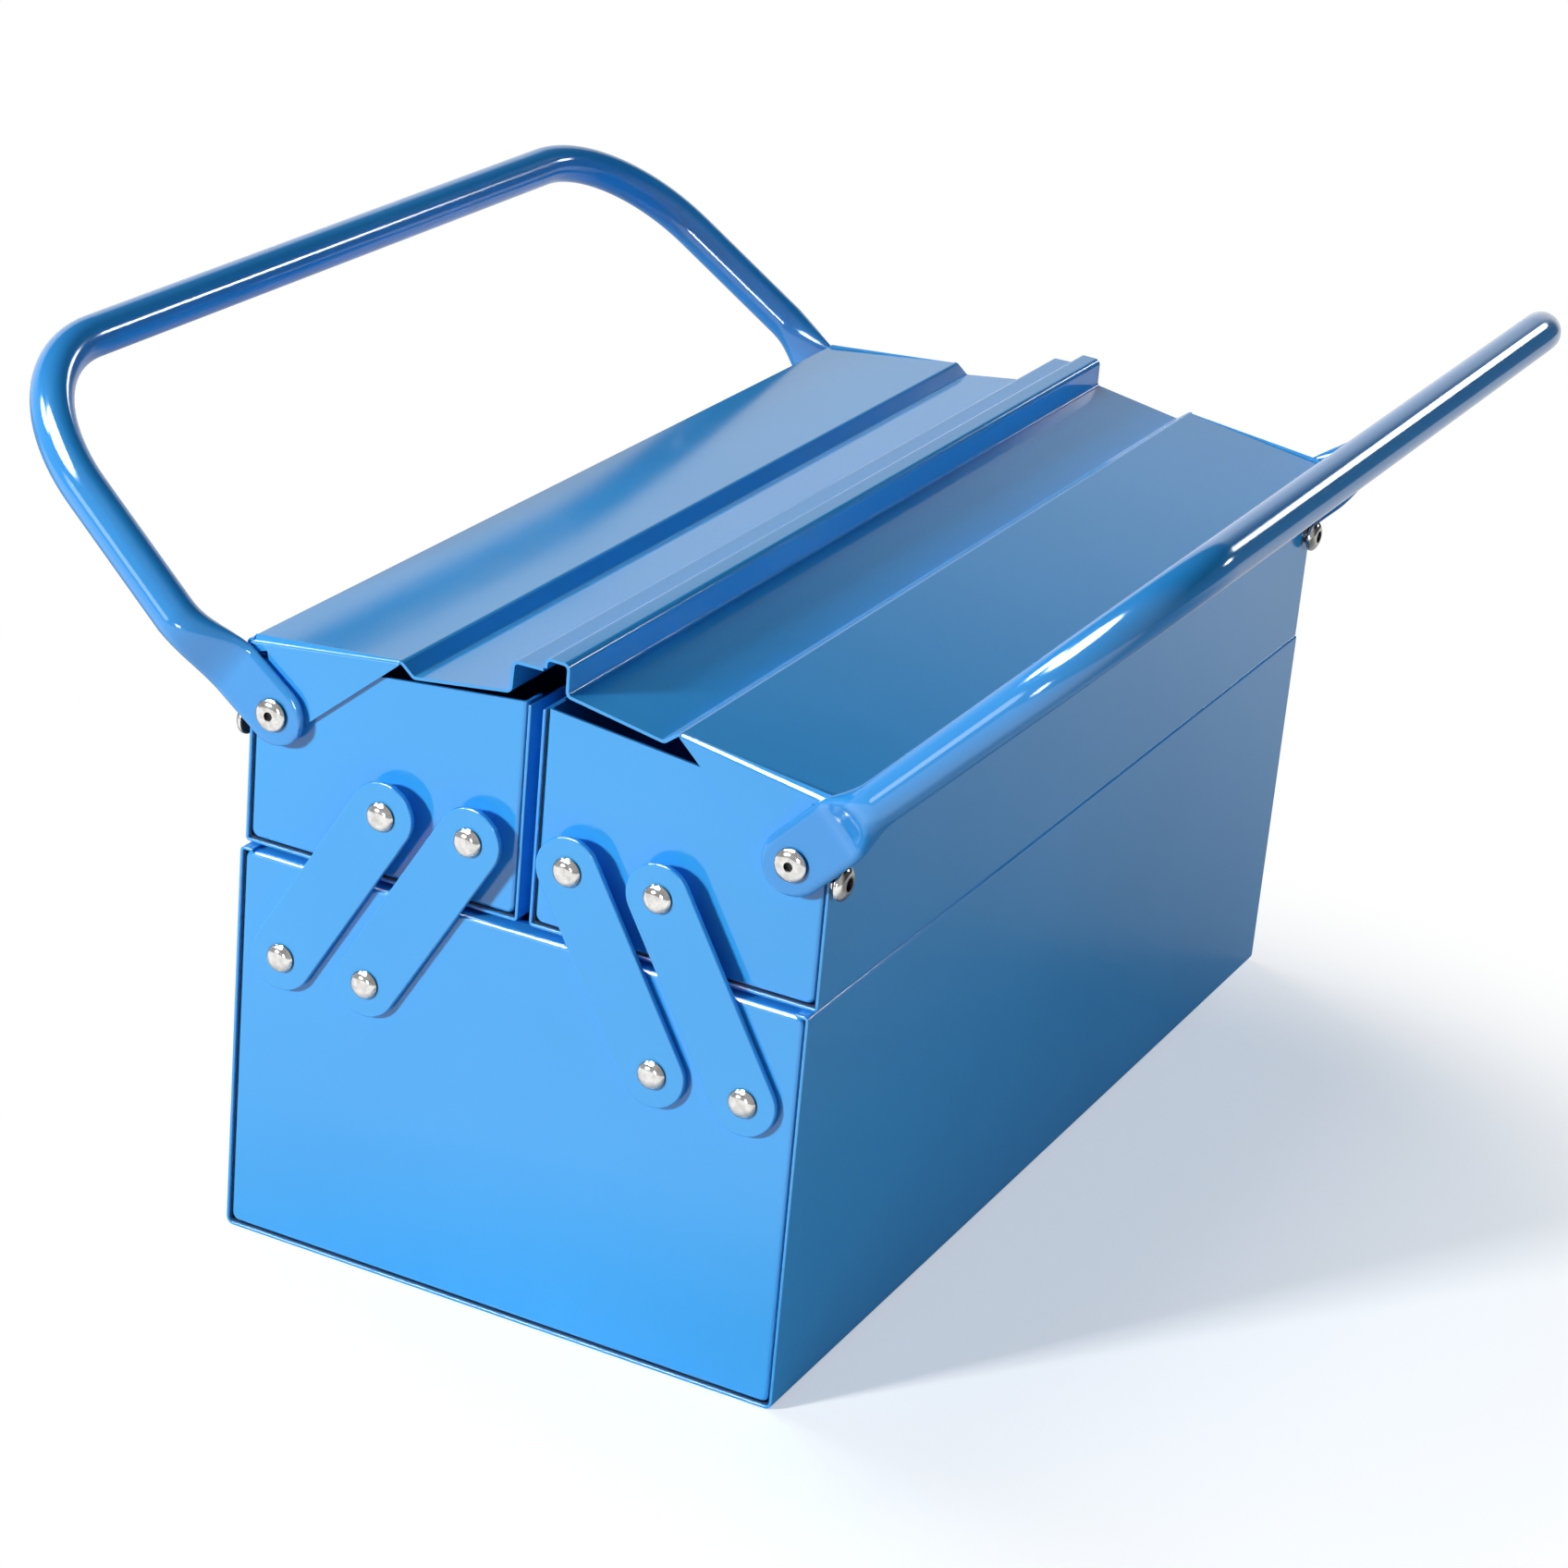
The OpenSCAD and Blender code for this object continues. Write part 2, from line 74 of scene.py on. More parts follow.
def fold_sheet(name, path, length, bends):
    """Folds a sheet along the box: a flat strip first, then one more strip for each further point
    of its end view, and last the corners rounded to the given bends."""
    (x0, z0), (x1, z1) = path[0], path[1]
    bpy.ops.object.select_all(action="DESELECT")
    bpy.ops.mesh.primitive_plane_add(
        size=1,
        location=((x0 + x1) / 2 * mm, 0, (z0 + z1) / 2 * mm),
        rotation=(0, -math.atan2(z1 - z0, x1 - x0), 0),
    )
    sheet = bpy.context.object
    sheet.name = sheet.data.name = name
    sheet.scale = (math.hypot(x1 - x0, z1 - z0) * mm, length * mm, 1)
    bpy.ops.object.transform_apply(location=True, rotation=True, scale=True)
    bpy.ops.object.mode_set(mode="EDIT")
    pick(sheet, at(x1, z1))
    for (xa, za), (xb, zb) in zip(path[1:], path[2:]):
        bpy.ops.mesh.extrude_region_move(
            TRANSFORM_OT_translate={"value": ((xb - xa) * mm, 0, (zb - za) * mm)}
        )
    for before, corner, after, bend in zip(path, path[1:], path[2:], bends):
        into = Vector(corner) - Vector(before)
        out = Vector(after) - Vector(corner)
        turn = into.angle(out)
        pick(sheet, at(*corner))
        bpy.ops.mesh.bevel(
            offset=bend * math.tan(turn / 2) * mm,
            segments=max(4, round(math.degrees(turn) / bend_step)),
            profile=0.5,
        )
    bpy.ops.object.mode_set(mode="OBJECT")
    return sheet


def take_up(piece):
    """Selects one piece and nothing else, ready for the next operator."""
    bpy.ops.object.select_all(action="DESELECT")
    piece.select_set(True)
    bpy.context.view_layer.objects.active = piece


def finish_by(piece, kind, **settings):
    """Adds one modifier to the piece and applies it."""
    take_up(piece)
    step = piece.modifiers.new(kind.lower(), kind)
    for setting, value in settings.items():
        setattr(step, setting, value)
    bpy.ops.object.modifier_apply(modifier=step.name)


def smooth(piece):
    """Shades bends smoothly while flat faces stay flat."""
    gentle = math.radians(34)
    take_up(piece)
    bpy.ops.object.shade_smooth_by_angle(angle=gentle)
    finish_by(piece, "WEIGHTED_NORMAL", mode="FACE_AREA", weight=100, keep_sharp=True)


def break_edges(piece, width, steps):
    """Rounds off the sharp cut edges of a piece."""
    sharp = math.radians(50)
    finish_by(piece, "BEVEL", width=width * mm, segments=steps, limit_method="ANGLE", angle_limit=sharp)


def thicken(piece):
    """Gives a folded sheet its thickness, breaks its cut edges and smooths its bends."""
    finish_by(piece, "SOLIDIFY", thickness=sheet_thick * mm, offset=0, use_even_offset=True)
    break_edges(piece, sheet_edge, 3)
    smooth(piece)


def start_finish(name):
    """Starts a finish and gives its material with the shader of its surface."""
    finish = bpy.data.materials.new(name)
    finish.use_nodes = True
    return finish, finish.node_tree.nodes["Principled BSDF"]


def grain(finish, scale, detail=2):
    """A random pattern that lies still on the piece, broad at a low scale and fine at a high one."""
    nodes, links = finish.node_tree.nodes, finish.node_tree.links
    place = nodes.new("ShaderNodeTexCoord")
    noise = nodes.new("ShaderNodeTexNoise")
    noise.inputs["Scale"].default_value = scale
    noise.inputs["Detail"].default_value = detail
    links.new(place.outputs["Object"], noise.inputs["Vector"])
    return noise.outputs["Fac"]


def colour_by(finish, pattern, dark, pale, dark_until=0, pale_from=1):
    """Leads the colour of a finish from a dark to a pale shade as a pattern says."""
    nodes, links = finish.node_tree.nodes, finish.node_tree.links
    shade = nodes.new("ShaderNodeValToRGB")
    first, last = shade.color_ramp.elements
    first.position = dark_until
    first.color = (*dark, 1)
    last.position = pale_from
    last.color = (*pale, 1)
    links.new(pattern, shade.inputs["Fac"])
    links.new(shade.outputs["Color"], nodes["Principled BSDF"].inputs["Base Color"])


def roughen_by(finish, pattern, least, most):
    """Leads the roughness of a finish from least to most as a pattern says."""
    nodes, links = finish.node_tree.nodes, finish.node_tree.links
    satin = nodes.new("ShaderNodeMapRange")
    satin.inputs["To Min"].default_value = least
    satin.inputs["To Max"].default_value = most
    links.new(pattern, satin.inputs["Value"])
    links.new(satin.outputs["Result"], nodes["Principled BSDF"].inputs["Roughness"])


def ripple_by(finish, pattern, strength, depth):
    """Gives a finish its faint unevenness as a pattern says."""
    nodes, links = finish.node_tree.nodes, finish.node_tree.links
    ripple = nodes.new("ShaderNodeBump")
    ripple.inputs["Strength"].default_value = strength
    ripple.inputs["Distance"].default_value = depth
    links.new(pattern, ripple.inputs["Height"])
    links.new(ripple.outputs["Normal"], nodes["Principled BSDF"].inputs["Normal"])


body_paint, coat = start_finish("light_blue_powder_coat")
coat.inputs["IOR"].default_value = 1.57
drift, cloud, peel = grain(body_paint, 9, 3), grain(body_paint, 45, 4), grain(body_paint, 750)
colour_by(body_paint, drift, (0.032, 0.335, 0.78), (0.038, 0.358, 0.82), 0.3, 0.7)
roughen_by(body_paint, cloud, 0.07, 0.12)
ripple_by(body_paint, peel, 0.12, 0.00006)


def fit(piece, body, node, material):
    """Paints a finished piece, hangs it on its body and lets it stand for its solid."""
    if not piece.data.materials:
        piece.data.materials.append(material)
    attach(piece, body)
    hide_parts(node)


base_sheet = fold_sheet(
    "base_sheet",
    [
        (rim_lip - base_half_w, base_rim),
        (-base_half_w, base_rim),
        (-base_half_w, base_floor),
        (base_half_w, base_floor),
        (base_half_w, base_rim),
        (base_half_w - rim_lip, base_rim),
    ],
    base_length,
    [rim_fold, side_bend, side_bend, rim_fold],
)
thicken(base_sheet)
fit(base_sheet, "base", "base_wrap", body_paint)


# ---- Base end panels ----
# Each end is a shallow pressed pan of the same sheet, pushed in between the long sides and spot
# welded through its flange. A thin near-black strip laid in the fine gap round its rounded rim is
# painted shade that darkens the gap.

base_face = 199.1
pan_flange = 8.5
pan_corner = 2.4
rim_bend = 1.1
rim_gap = 1
weld_gap = 0.6
pan_set = sheet_thick + weld_gap
shade_strip_set = pan_set / 2
shade_strip_back = 0.5
shade_strip_wide = 0.8


def draw_plate(name, outline, y):
    """Draws a flat plate across the box by pulling one point round its outline and filling it."""
    bpy.ops.object.select_all(action="DESELECT")
    bpy.ops.mesh.primitive_plane_add(size=1)
    plate = bpy.context.object
    plate.name = plate.data.name = name
    bpy.ops.object.mode_set(mode="EDIT")
    bpy.ops.mesh.select_all(action="SELECT")
    bpy.ops.mesh.merge(type="CENTER")
    bpy.ops.transform.translate(value=(outline[0][0] * mm, y * mm, outline[0][1] * mm))
    for (xa, za), (xb, zb) in zip(outline, outline[1:]):
        bpy.ops.mesh.extrude_vertices_move(
            TRANSFORM_OT_translate={"value": ((xb - xa) * mm, 0, (zb - za) * mm)}
        )
    bpy.ops.mesh.select_all(action="SELECT")
    bpy.ops.mesh.edge_face_add()
    return plate


def end_shaping():
    """Turns all faces of the piece being edited outwards and ends the editing."""
    bpy.ops.mesh.select_all(action="SELECT")
    bpy.ops.mesh.normals_make_consistent(inside=False)
    bpy.ops.object.mode_set(mode="OBJECT")


def press_pan(name, outline, rounded, face, flange_top=math.inf):
    """Presses a front pan out of a plate: rounded corners, a soft rim and a flange turned back
    into the box, which ends at flange_top."""
    back = pan_flange - face
    pan = draw_plate(name, outline, back)
    for spot in rounded:
        pick(pan, at(*spot))
        bpy.ops.mesh.bevel(affect="VERTICES", offset=pan_corner * mm, segments=6, profile=0.5)
    bpy.ops.mesh.select_all(action="SELECT")
    bpy.ops.mesh.extrude_region_move(TRANSFORM_OT_translate={"value": (0, -pan_flange * mm, 0)})
    bpy.ops.mesh.select_mode(type="FACE")
    shape = bmesh.from_edit_mesh(pan.data)
    for side_face in shape.faces:
        middle = side_face.calc_center_median() / mm
        at_back = all(abs(v.co.y / mm - back) < slack for v in side_face.verts)
        too_high = middle.z > flange_top and abs(middle.y + face) > sheet_thick
        side_face.select = at_back or too_high
    bmesh.update_edit_mesh(pan.data)
    bpy.ops.mesh.delete(type="ONLY_FACE")
    pick(pan, lambda p: abs(p.y + face) < slack)
    bpy.ops.mesh.bevel(offset=rim_bend * mm, segments=5, profile=0.5)
    end_shaping()
    return pan


# Painted shade: a near-black finish for the strips that darken the gaps round the pans.
painted_seam_shade, seam_shade_shader = start_finish("painted_shade_in_seams")
seam_shade_shader.inputs["Roughness"].default_value = 0.7
colour_by(painted_seam_shade, grain(painted_seam_shade, 300), (0.001, 0.003, 0.008), (0.003, 0.01, 0.028))


def lay_seam_shade(pan, path, face, bend):
    """Paints a pan and lays a thin near-black strip in the gap beside it, as painted shade in the gap."""
    shade_strip = fold_sheet("shade_strip", path, shade_strip_wide, [bend] * (len(path) - 2))
    finish_by(shade_strip, "SOLIDIFY", thickness=weld_gap * mm, offset=0, use_even_offset=True)
    shade_strip.location.y = (shade_strip_back - face) * mm
    bpy.ops.object.transform_apply(location=True, rotation=False, scale=False)
    shade_strip.data.materials.append(painted_seam_shade)
    pan.data.materials.append(body_paint)
    return gather([pan, shade_strip], pan.name)


def gather(parts, name):
    """Joins like parts into one piece."""
    take_up(parts[0])
    for part in parts:
        part.select_set(True)
    bpy.ops.object.join()
    joined = bpy.context.object
    joined.name = joined.data.name = name
    return joined


def mirrored(piece, name):
    """The rear twin of a front piece: a copy with its own mesh, mirrored through the middle."""
    take_up(piece)
    bpy.ops.object.duplicate()
    twin = bpy.context.object
    twin.name = twin.data.name = name
    bpy.ops.object.mode_set(mode="EDIT")
    bpy.ops.mesh.select_all(action="SELECT")
    bpy.ops.transform.resize(value=(1, -1, 1), center_override=(0, 0, 0))
    bpy.ops.mesh.flip_normals()
    bpy.ops.object.mode_set(mode="OBJECT")
    bpy.ops.mesh.customdata_custom_splitnormals_clear()
    smooth(twin)
    return twin


pan_x = base_half_w - pan_set
pan_low = base_floor + pan_set
pan_top = base_rim - rim_gap
base_corners = [(-pan_x, pan_low), (pan_x, pan_low), (pan_x, pan_top), (-pan_x, pan_top)]
base_front = press_pan("base_front_pan", base_corners, base_corners, base_face)
thicken(base_front)
# The base pan's gap gets a strip of painted shade.
shade_strip_x = base_half_w - shade_strip_set
shade_strip_low = base_floor + shade_strip_set
shade_strip_top = pan_top - 0.1
base_front = lay_seam_shade(
    base_front,
    [(-shade_strip_x, shade_strip_top), (-shade_strip_x, shade_strip_low), (shade_strip_x, shade_strip_low), (shade_strip_x, shade_strip_top)],
    base_face,
    side_bend - shade_strip_set,
)
base_rear = mirrored(base_front, "base_rear_pan")
fit(base_front, "base", "base_front_end", body_paint)
fit(base_rear, "base", "base_rear_end", body_paint)


# ---- Tray sheets ----
# Each upper tray is a second folded sheet: outer wall, bottom and a taller inner wall beside the
# slot. The outer wall has the same rolled rim as the base.

tray_length = 392
tray_outer = 100.3
tray_inner = 2.5
tray_low = 134.8
tray_rim = 197.8
tray_inner_rim = 205.3
sides = (("left", -1), ("right", 1))

for side, k in sides:
    tray_sheet = fold_sheet(
        side + "_tray_sheet",
        [
            (k * (tray_outer - rim_lip), tray_rim),
            (k * tray_outer, tray_rim),
            (k * tray_outer, tray_low),
            (k * tray_inner, tray_low),
            (k * tray_inner, tray_inner_rim),
        ],
        tray_length,
        [rim_fold] * 3,
    )
    thicken(tray_sheet)
    fit(tray_sheet, side + "_tray", side + "_tray_wrap", body_paint)


# ---- Tray end panels ----
# The trays' ends are pressed pans like the base's, level under the rolled rim and then rising
# towards the slot, so that the lids can slope up to the ridge. Their top edge has no flange.

tray_face = 195.1
tray_pan_top = tray_rim - rim_gap
tray_pan_low = tray_low + pan_set
tray_pan_peak = 206
tray_flange_top = 196
# Where the strip of painted shade in the tray pans' gaps ends and peaks.
tray_shade_strip_end = 196.5
tray_shade_strip_peak = 205
tray_outline = [
    (tray_inner + pan_set, tray_pan_peak),
    (tray_outer - rim_lip, tray_pan_top),
    (tray_outer - pan_set, tray_pan_top),
    (tray_outer - pan_set, tray_pan_low),
    (tray_inner + pan_set, tray_pan_low),
]
# The outline of the strip of painted shade in each tray pan's gap.
shade_strip_outline = [
    (tray_outer - shade_strip_set, tray_shade_strip_end),
    (tray_outer - shade_strip_set, tray_low + shade_strip_set),
    (tray_inner + shade_strip_set, tray_low + shade_strip_set),
    (tray_inner + shade_strip_set, tray_shade_strip_peak),
]

for side, k in sides:
    outline = [(k * x, z) for x, z in tray_outline]
    front = press_pan(side + "_tray_front_pan", outline, outline[2:], tray_face, tray_flange_top)
    thicken(front)
    front = lay_seam_shade(front, [(k * x, z) for x, z in shade_strip_outline], tray_face, rim_fold)
    rear = mirrored(front, side + "_tray_rear_pan")
    fit(front, side + "_tray", side + "_tray_front_end", body_paint)
    fit(rear, side + "_tray", side + "_tray_rear_end", body_paint)


# ---- Arms ----
# Eight flat bars carry the trays, two at each end of each tray. They are stamped from 2 mm steel
# with round ends and softened edges, and stand off the panels on the rivets' collars.

arm_half_w = 11
arm_near = 200.3
arm_thick = 2
arm_edge = 0.55
arm_hole = 5.1
arm_low = 101.3
arm_rise = Vector((-33.7, 0, 57.5))
arm_feet = {"outer": 82, "inner": 51}
drill_length = 12


def drill(piece, x, y, z, wide):
    """Drills a round hole along the box, right through a plate of the piece."""
    bpy.ops.object.select_all(action="DESELECT")
    bpy.ops.mesh.primitive_cylinder_add(
        vertices=40,
        radius=wide / 2 * mm,
        depth=drill_length * mm,
        location=(x * mm, y * mm, z * mm),
        rotation=(math.pi / 2, 0, 0),
    )
    bit = bpy.context.object
    finish_by(piece, "BOOLEAN", operation="DIFFERENCE", object=bit, solver="EXACT")
    bpy.data.objects.remove(bit)


for side, k in sides:
    for which, foot in arm_feet.items():
        pivot = Vector((k * foot, -arm_near, arm_low))
        rise = Vector((k * arm_rise.x, 0, arm_rise.z))
        bpy.ops.object.select_all(action="DESELECT")
        bpy.ops.mesh.primitive_circle_add(
            vertices=72,
            radius=arm_half_w * mm,
            fill_type="NGON",
            location=(k * foot * mm, -arm_near * mm, arm_low * mm),
            rotation=(math.pi / 2, 0, 0),
        )
        arm = bpy.context.object
        arm.name = arm.data.name = side + "_" + which + "_front_arm"
        bpy.ops.object.transform_apply(location=True, rotation=True, scale=True)
        bpy.ops.object.mode_set(mode="EDIT")
        pick(arm, lambda p: (p - pivot).dot(rise) > 0)
        bpy.ops.transform.translate(value=rise * mm)
        bpy.ops.mesh.select_all(action="SELECT")
        bpy.ops.mesh.extrude_region_move(TRANSFORM_OT_translate={"value": (0, -arm_thick * mm, 0)})
        end_shaping()
        break_edges(arm, arm_edge, 4)
        arm_middle = -arm_near - arm_thick / 2
        drill(arm, k * foot, arm_middle, arm_low, arm_hole)
        drill(arm, k * foot + rise.x, arm_middle, arm_low + rise.z, arm_hole)
        smooth(arm)
        rear_arm = mirrored(arm, side + "_" + which + "_rear_arm")
        body = side + "_" + which + "_arms"
        fit(arm, body, side + "_" + which + "_arm_front", body_paint)
        fit(rear_arm, body, side + "_" + which + "_arm_rear", body_paint)


# ---- Arm rivets ----
# Nickel-plated steel rivets with domed heads, on which the arms turn. A collar under each arm
# spaces it off the panel, and the tail is set against the inside of the sheet.

rivet_play = 0.3
shank_r = 2.5
tail_r = 4.7
collar_r = 4.6
collar_end = arm_near - rivet_play
head_seat = arm_near + arm_thick + rivet_play
dome_high = 2.2

nickel, plate = start_finish("bright_nickel_plate")
plate.inputs["Metallic"].default_value = 1
grime, dents = grain(nickel, 420, 3), grain(nickel, 380)
colour_by(nickel, grime, (0.46, 0.455, 0.44), (0.6, 0.595, 0.58), 0.35, 0.6)
roughen_by(nickel, grime, 0.08, 0.16)
ripple_by(nickel, dents, 0.15, 0.00025)

# Painted shade: a near-black finish for the holes and the undersides of the rivet and stud heads.
rivet_painted_shade, recess_shade_shader = start_finish("painted_shade_in_recesses")
recess_shade_shader.inputs["Metallic"].default_value = 0.6
recess_shade_shader.inputs["Roughness"].default_value = 0.5
colour_by(rivet_painted_shade, grain(rivet_painted_shade, 900), (0.006, 0.006, 0.007), (0.05, 0.05, 0.055))


def turn_down(name, centre, steps, dark, axis="Y"):
    """Turns a round part: a disc is pushed out in steps, each given by its place along the axis and
    its radius. What lies between two places and two radii given in dark gets painted shade, a
    near-black colour standing for the shadow there, and the rest is plated."""
    x, z = centre
    (start, radius), rest = steps[0], steps[1:]
    turn = (math.pi / 2, 0, 0) if axis == "Y" else (0, math.pi / 2, 0)
    spot = (x * mm, start * mm, z * mm) if axis == "Y" else (start * mm, x * mm, z * mm)
    bpy.ops.object.select_all(action="DESELECT")
    bpy.ops.mesh.primitive_circle_add(
        vertices=48, radius=radius * mm, fill_type="NGON", location=spot, rotation=turn
    )
    part = bpy.context.object
    part.name = part.data.name = name
    bpy.ops.object.transform_apply(location=True, rotation=True, scale=True)
    bpy.ops.object.mode_set(mode="EDIT")
    bpy.ops.mesh.select_all(action="SELECT")
    for along, wide in rest:
        shift = (along - start) * mm
        grow = wide / radius
        spot = (x * mm, along * mm, z * mm) if axis == "Y" else (along * mm, x * mm, z * mm)
        bpy.ops.mesh.extrude_region_move(
            TRANSFORM_OT_translate={"value": (0, shift, 0) if axis == "Y" else (shift, 0, 0)}
        )
        bpy.ops.transform.resize(
            value=(grow, 1, grow) if axis == "Y" else (1, grow, grow), center_override=spot
        )
        start, radius = along, wide
    end_shaping()
    part.data.materials.append(nickel)
    part.data.materials.append(rivet_painted_shade)
    for face in part.data.polygons:
        spot = face.center / mm
        along, across = (spot.y, spot.x) if axis == "Y" else (spot.x, spot.y)
        out = math.hypot(across - x, spot.z - z)
        face.material_index = any(
            min(a, b) <= along <= max(a, b) and inner <= out <= outer for a, b, inner, outer in dark
        )
    smooth(part)
    return part


def arm_rivet(x, z, face):
    """One arm rivet in a front panel, from its tail behind the sheet to its domed head."""
    behind = sheet_thick - face
    tail = [(behind + 1.2, 4.4), (behind + 1, tail_r), (behind, tail_r), (behind, shank_r)]
    collar = [(-face, shank_r), (-face, collar_r), (-collar_end, collar_r), (-collar_end, shank_r)]
    head = [(-head_seat, shank_r), (-head_seat, 4.55), (-head_seat - 0.3, 4.74)]
    for a in (14, 24, 34, 44, 54, 63, 72, 80, 86):
        a = math.radians(a)
        head.append((-head_seat - dome_high * math.sin(a), 0.2 + 4.5 * math.cos(a) ** 0.8))
    # The underside of the head and the side of its brim get painted shade.
    return turn_down("rivet", (x, z), tail + collar + head, [(-head_seat - 0.29, -head_seat + 1, 2, 5)])


panel_face = base_face + sheet_thick / 2
base_rivets = [arm_rivet(k * x, arm_low, panel_face) for side, k in sides for x in arm_feet.values()]
front_rivets = gather(base_rivets, "base_front_rivet_set")
rear_rivets = mirrored(front_rivets, "base_rear_rivet_set")
fit(front_rivets, "base", "base_front_rivets", nickel)
fit(rear_rivets, "base", "base_rear_rivets", nickel)

arm_high = arm_low + arm_rise.z
panel_face = tray_face + sheet_thick / 2
for side, k in sides:
    pair = [arm_rivet(k * (x + arm_rise.x), arm_high, panel_face) for x in arm_feet.values()]
    near = gather(pair, side + "_tray_rivets")
    far = mirrored(near, "far_rivets")
    tray_rivets = gather([near, far], side + "_tray_rivets")
    fit(tray_rivets, side + "_tray", side + "_tray_arm_rivets", nickel)


# ---- Handle rivets ----
# Larger tubular rivets at the trays' upper corners. Each carries a lid's ear and the flattened
# end of a handle, and its flat-domed head has a small hole in the middle.

hinge_x = 90
hinge_z = 181

# Steps from the inside outwards, each with its place along the box and its radius.
tail = [(-193.1, 5.2), (-193.3, 5.5), (-194.6, 5.5), (-194.6, 3)]
collar = [(-195.6, 3), (-195.6, 5.4), (-196, 5.4), (-196, 3)]
head = [(-200.9, 3), (-200.9, 5.1), (-201.05, 5.28), (-201.5, 5.3), (-201.85, 5.15)]
crown = [(-202.2, 4.75), (-202.5, 4.1), (-202.72, 3.3), (-202.86, 2.4), (-202.9, 1.8)]
hole = [(-202.82, 1.5), (-202.55, 1.32), (-201.6, 1.28), (-201.5, 1.1)]
# Painted shade inside the hole and under the head.
in_hole = (-202.8, -201.4, 0, 1.45)
under_head = (-201.3, -200.8, 2, 6)

for side, k in sides:
    steps = tail + collar + head + crown + hole
    near = turn_down("handle_rivet", (k * hinge_x, hinge_z), steps, [in_hole, under_head])
    far = mirrored(near, "far_rivet")
    handle_rivets = gather([near, far], side + "_handle_rivets")
    fit(handle_rivets, side + "_tray", side + "_hinge_rivets", nickel)


# ---- Stop studs ----
# Nickel-plated studs in the trays' outer walls. The handle's flattened end comes down on the
# head, so each handle rests at an angle instead of falling against the side.

stud_y = 192.6
stud_z = {"left": 174.45, "right": 175.979}

# Steps from the inside outwards, each with its distance from the middle and its radius.
tail = [(97.8, 1.7), (100.8, 1.8)]
collar = [(100.8, 3.1), (101, 3.3), (101.45, 3.3), (101.6, 3.1), (101.6, 1.8)]
head = [(102.6, 1.8), (102.6, 5.2), (102.9, 5.55), (103.7, 5.6), (104.3, 5.3)]
crown = [(104.9, 4.6), (105.4, 3.7), (105.58, 2.8), (105.6, 2.3)]
hole = [(105.4, 1.9), (104.2, 1.8), (104.1, 1)]

# The stud's hole and the underside of its head get painted shade.
for side, k in sides:
    near = turn_down(
        "stud",
        (-stud_y, stud_z[side]),
        [(k * along, wide) for along, wide in tail + collar + head + crown + hole],
        [(k * 105.55, k * 104, 0, 2.2), (k * 102.9, k * 102.5, 2, 6)],
        axis="X",
    )
    far = mirrored(near, "far_stud")
    studs = gather([near, far], side + "_studs")
    fit(studs, side + "_tray", side + "_stop_studs", nickel)


# ---- Lids ----
# Each lid is one sheet folded into a skirt, a sloping panel, a step down, a second panel and the
# ridge at the middle. Ears folded down at its ends hang on the handle rivets.

lid_end = 196.8
lid_bend = 1.7
lid_skirt = (101.8, 196.5)
lid_outer = (101.8, 202.1)
lid_step = (47, 207.9)
lid_foot = (42.5, 204.1)
ridge_foot = (9, 208.5)
ridge_top = (8.5, 218.2)
ridge_end = {"left": [(-1.66, 218.2)], "right": [(0.9, 218.2), (0.9, 215.1)]}
hinge_hole = 6.1

# The right lid lies on the left one's flange, which holds it a few degrees open.
right_lid_open = 2.4

# The ears' outer corner is measured from the rivet and cut back at an angle in degrees.
ear_bend = 1.4
ear_radius = 8
ear_drop = 0.8
ear_shoulder = (101.75, 200.6)
ear_corner = (11.8, 15.5)
ear_cut = {"left": 76, "right": 82.2}


def round_ear(reach, start, stop, count):
    """Points on a round about the rivet, at a reach, from one angle to another."""
    turns = [start + (stop - start) * i / count for i in range(count + 1)]
    return [(hinge_x + reach * math.cos(a), hinge_z + reach * math.sin(a)) for a in turns]


